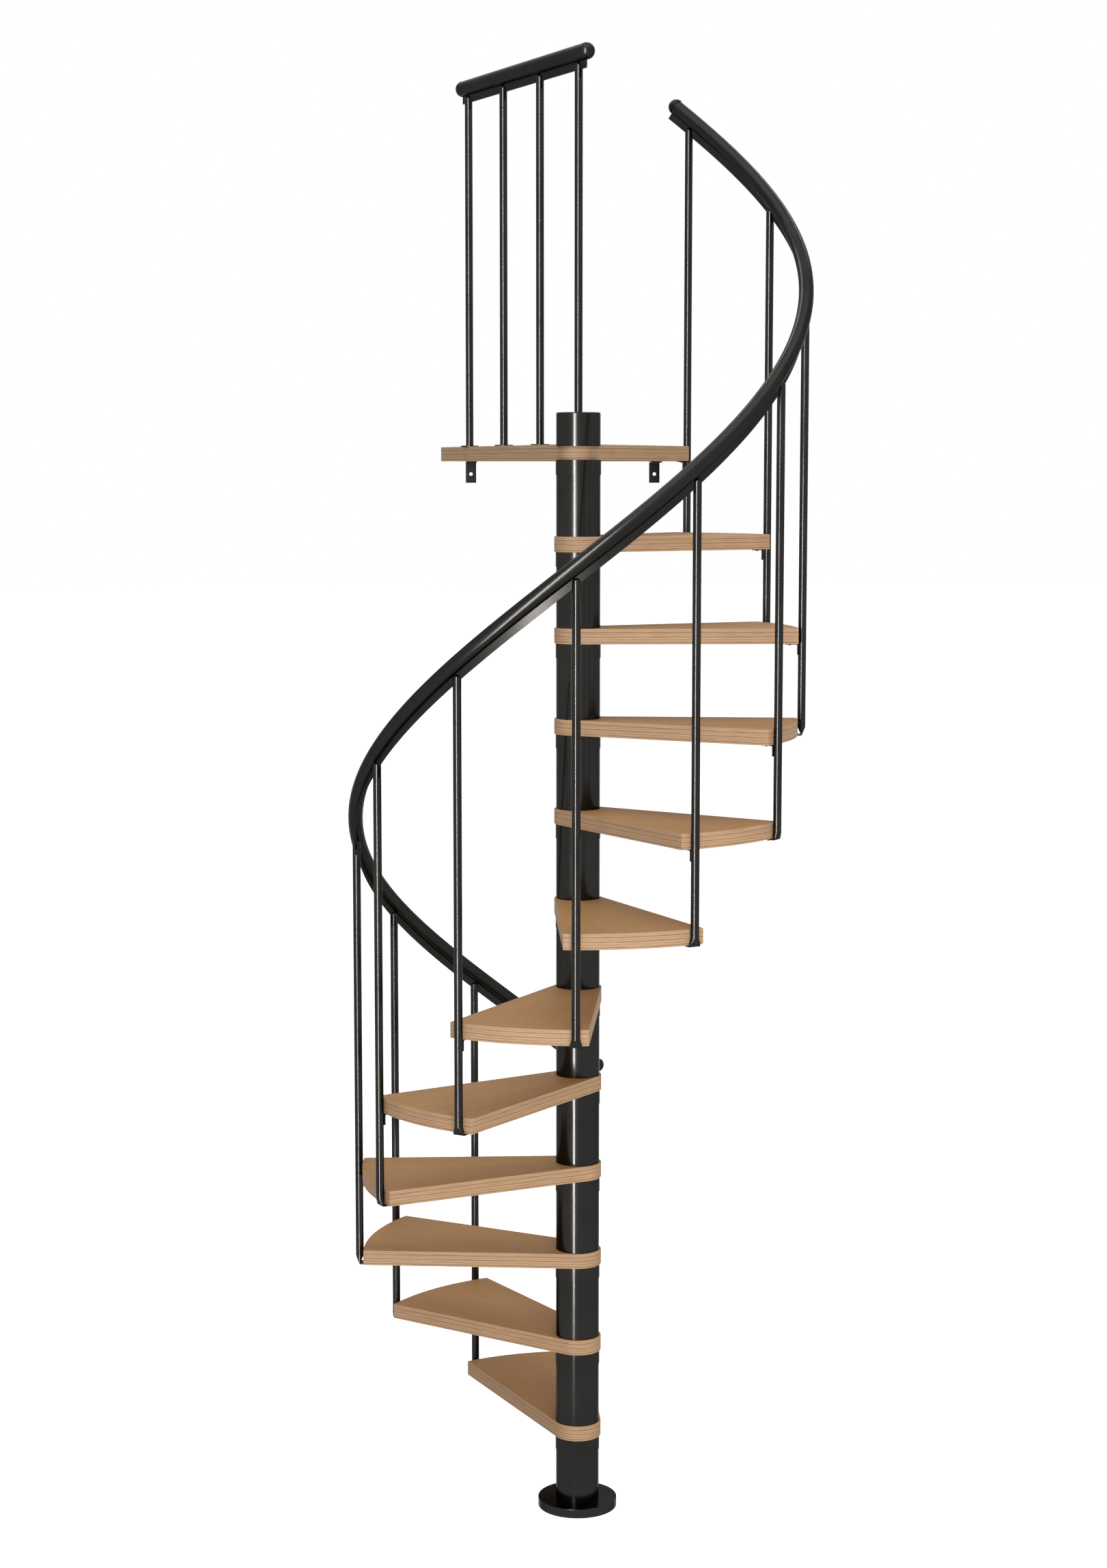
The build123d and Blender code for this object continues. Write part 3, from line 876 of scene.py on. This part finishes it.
# %% [markdown]
# ## Brackets and screws
#
# Two kinds of bent flat bar hold things together. Small ones tie every baluster to the tread
# above it. Two larger ones, with a bolt hole, hang under the landing's back edge. Each is
# a short plate whose end is spun a quarter turn and pulled on, and then softened.

# %% Bent bars


def bent_bar(width, thickness, drop, reach, bend=3.0, hole=None):
    """An L of flat bar: one leg hangs at X = 0, the other runs inward under Z = 0."""
    bm = bmesh.new()
    side, upper = width / 2, -bend - thickness
    leg = [(-side, -drop), (side, -drop), (side, upper), (-side, upper)]
    verts = [bm.verts.new((0, y, z)) for y, z in leg]
    edges = [bm.edges.new(pair) for pair in zip(verts, verts[1:] + verts[:1])]
    if hole:
        ring = bmesh.ops.create_circle(bm, radius=hole[0], segments=32)["verts"]
        upright = Matrix.Rotation(pi / 2, 3, "Y")
        bmesh.ops.rotate(bm, verts=ring, cent=(0, 0, 0), matrix=upright)
        bmesh.ops.translate(bm, verts=ring, vec=(0, 0, -hole[1]))
        edges += list({e for v in ring for e in v.link_edges})
        bmesh.ops.triangle_fill(bm, edges=edges, use_beauty=True)
    else:
        bmesh.ops.contextual_create(bm, geom=edges)
    slab = bmesh.ops.extrude_face_region(bm, geom=list(bm.faces))["geom"]
    bmesh.ops.translate(bm, verts=verts_in(slab), vec=(-thickness, 0, 0))
    bmesh.ops.recalc_face_normals(bm, faces=bm.faces)
    top = max(bm.faces, key=lambda f: (f.normal.z > 0.9, f.calc_center_median().z))
    leaving = list(top.edges)
    bmesh.ops.delete(bm, geom=[top], context="FACES_ONLY")
    centre = (upper, 0, upper)
    spun = bmesh.ops.spin(bm, geom=leaving, cent=centre, axis=(0, 1, 0), angle=-pi / 2, steps=6)
    pulled = bmesh.ops.extrude_edge_only(bm, edges=edges_in(spun["geom_last"]))["geom"]
    bmesh.ops.translate(bm, verts=verts_in(pulled), vec=(-(reach - thickness - bend), 0, 0))
    bmesh.ops.contextual_create(bm, geom=edges_in(pulled))
    bmesh.ops.remove_doubles(bm, verts=bm.verts, dist=1e-3)
    bmesh.ops.recalc_face_normals(bm, faces=bm.faces)
    soften(bm, 0.5, segments=2)
    return bm


def screw_head(radius=5.5, height=2.4):
    """A domed screw head that points down, with a round recess pressed in its top."""
    rise = arc_points((0, 0), 1.0, 0, 90, 6)
    dome = [(radius * r, -height * z) for r, z in rise]
    bm = turned([(0, 0.4), (radius, 0.4)] + dome[:-1] + [(0, -height)], steps=20)
    for v in bm.verts:
        if v.co.xy.length < radius * 0.32 and v.co.z < -height * 0.5:
            v.co.z += 1.1
    return bm


# %% Tie brackets with their screws
ties = bmesh.new()
screws = bmesh.new()
for n in range(TREADS + 1):
    under = RISE * (n + 1) - BOARD
    at = spoke(FIRST_BALUSTER + n * TURN, BALUSTER_RING - 10, under)
    gather(ties, bent_bar(16, 3, 29, 34, bend=2.0), at)
    gather(screws, screw_head(4.2, 2.0), at @ Matrix.Translation((-22, 0, -3.2)))
    if n > 0:
        foot_at = spoke(FIRST_BALUSTER + n * TURN, BALUSTER_RING, RISE * n - BOARD)
        gather(screws, screw_head(5.5, 2.6), foot_at @ Matrix.Translation((-24, 0, -3.8)))
place(ties, "tread_ties", [black_steel], ["tie_brackets"])

# %% Wall brackets
for name, node, x in (
    ("wall_hook_left", "wall_bracket_left", -250.5),
    ("wall_hook_right", "wall_bracket_right", 275.5),
):
    edge = Matrix.Translation(Vector((x, LANDING_BACK, LANDING_TOP - BOARD)) * MM)
    at = edge @ Matrix.Rotation(pi / 2, 4, "Z") @ Matrix.Scale(MM, 4)
    hook = bent_bar(30, 4, 61, 70, bend=3.0, hole=(5.0, 36.0))
    place(hook, name, [black_steel], [node], matrix=at)
    gather(screws, screw_head(6.0, 3.0), at @ Matrix.Translation((-42, 0, -4.2)))
place(screws, "screw_heads", [black_steel])
print("All brackets and screws are on")

# %% [markdown]
# ## Light, floor and camera
#
# The picture is a plain studio shot on white. The camera stands seven metres away, above
# the middle of the stair. Some lamps are only seen in the gloss: a tall narrow one at the
# front left, which draws the bright line down every tube, a soft card beside it and a
# strip behind. A broad lamp behind the camera lights the board edges but isn't mirrored,
# and neither is the floor. A weak lamp overhead leaves the tops of the treads darker than
# their edges.

# %% Floor and world
FLOOR_GLOW = 0.74
ROOM_LIGHT = 0.46


def seen_ray(tree):
    """One where a ray comes from the camera or off a glossy surface, else nought."""
    rays = tree.nodes.new("ShaderNodeLightPath")
    either = add_node(tree, "ShaderNodeMath", operation="MAXIMUM")
    tree.links.new(rays.outputs["Is Camera Ray"], either.inputs[0])
    tree.links.new(rays.outputs["Is Glossy Ray"], either.inputs[1])
    return rays, either.outputs[0]


floor_mesh = bpy.data.meshes.new("floor")
sheet = bmesh.new()
bmesh.ops.create_grid(sheet, x_segments=1, y_segments=1, size=60)
sheet.to_mesh(floor_mesh)
sheet.free()
floor = bpy.data.objects.new("floor", floor_mesh)
bpy.context.scene.collection.objects.link(floor)
floor.location.z = -0.001
floor.visible_glossy = False
floor_white, tree, shader = new_material("Pale floor")
shader.inputs["Base Color"].default_value = (0.82, 0.82, 0.82, 1)
shader.inputs["Roughness"].default_value = 0.9
shader.inputs["Specular IOR Level"].default_value = 0.0
_, seen = seen_ray(tree)
lift = add_node(tree, "ShaderNodeMath", operation="MULTIPLY")
lift.inputs[1].default_value = FLOOR_GLOW
tree.links.new(seen, lift.inputs[0])
shader.inputs["Emission Color"].default_value = (1, 1, 1, 1)
tree.links.new(lift.outputs[0], shader.inputs["Emission Strength"])
floor_mesh.materials.append(floor_white)

world = bpy.data.worlds.new("White studio")
bpy.context.scene.world = world
world.use_nodes = True
tree = world.node_tree
tree.nodes.clear()
rays, seen = seen_ray(tree)
through = add_node(tree, "ShaderNodeMath", operation="MAXIMUM")
tree.links.new(seen, through.inputs[0])
tree.links.new(rays.outputs["Is Transmission Ray"], through.inputs[1])
dim = add_node(tree, "ShaderNodeBackground", Color=(1, 1, 1, 1), Strength=ROOM_LIGHT)
white = add_node(tree, "ShaderNodeBackground", Color=(1, 1, 1, 1), Strength=1.0)
either = tree.nodes.new("ShaderNodeMixShader")
out = tree.nodes.new("ShaderNodeOutputWorld")
tree.links.new(through.outputs[0], either.inputs["Fac"])
tree.links.new(dim.outputs[0], either.inputs[1])
tree.links.new(white.outputs[0], either.inputs[2])
tree.links.new(either.outputs[0], out.inputs["Surface"])

# %% Lamps


def lamp(name, position, target, width, height, power):
    """A rectangular lamp that faces a target."""
    light = bpy.data.lights.new(name, "AREA")
    light.shape = "RECTANGLE"
    light.size = width
    light.size_y = height
    light.energy = power
    fixture = bpy.data.objects.new(name, light)
    fixture.location = position
    way = Vector(target) - Vector(position)
    fixture.rotation_euler = way.to_track_quat("-Z", "Y").to_euler()
    bpy.context.scene.collection.objects.link(fixture)
    return fixture


strip_lamp = lamp("Tall strip", (-1.95, -4.5, 2.85), (0, 0, 2.85), 0.32, 7.5, 745)
side_card = lamp("Soft card", (-2.4, -7.6, 2.4), (0, 0, 2.2), 1.2, 5.0, 60)
back_strip = lamp("Back strip", (0, 4.5, 8.0), (0, 0, 2.5), 9.0, 0.7, 500)
for reflected in (strip_lamp, side_card, back_strip):
    reflected.visible_diffuse = False
broad = lamp("Broad front", (0.6, -8.5, 3.1), (0, 0, 1.9), 6.0, 4.0, 720)
broad.visible_glossy = False
lamp("Overhead", (0, -1.0, 8.0), (0, 0, 0), 7.0, 5.0, 165)

# %% Camera
LOOK_DOWN, LOOK_RIGHT = 6.535, 3.525
SENSOR = 36.0
FOCAL_PIXELS = 3971.9
PICTURE_HEIGHT = 2296
camera_data = bpy.data.cameras.new("Camera")
camera_data.sensor_fit = "AUTO"
camera_data.sensor_width = SENSOR
camera_data.lens = SENSOR * FOCAL_PIXELS / PICTURE_HEIGHT
camera_data.clip_end = 200
camera = bpy.data.objects.new("Camera", camera_data)
camera.location = (-0.4947, -6.9926, 2.7462)
camera.rotation_euler = (radians(90 - LOOK_DOWN), 0, radians(-LOOK_RIGHT))
bpy.context.scene.collection.objects.link(camera)
bpy.context.scene.camera = camera
bpy.context.scene.view_settings.view_transform = "Standard"
print("The camera looks", LOOK_DOWN, "degrees down")
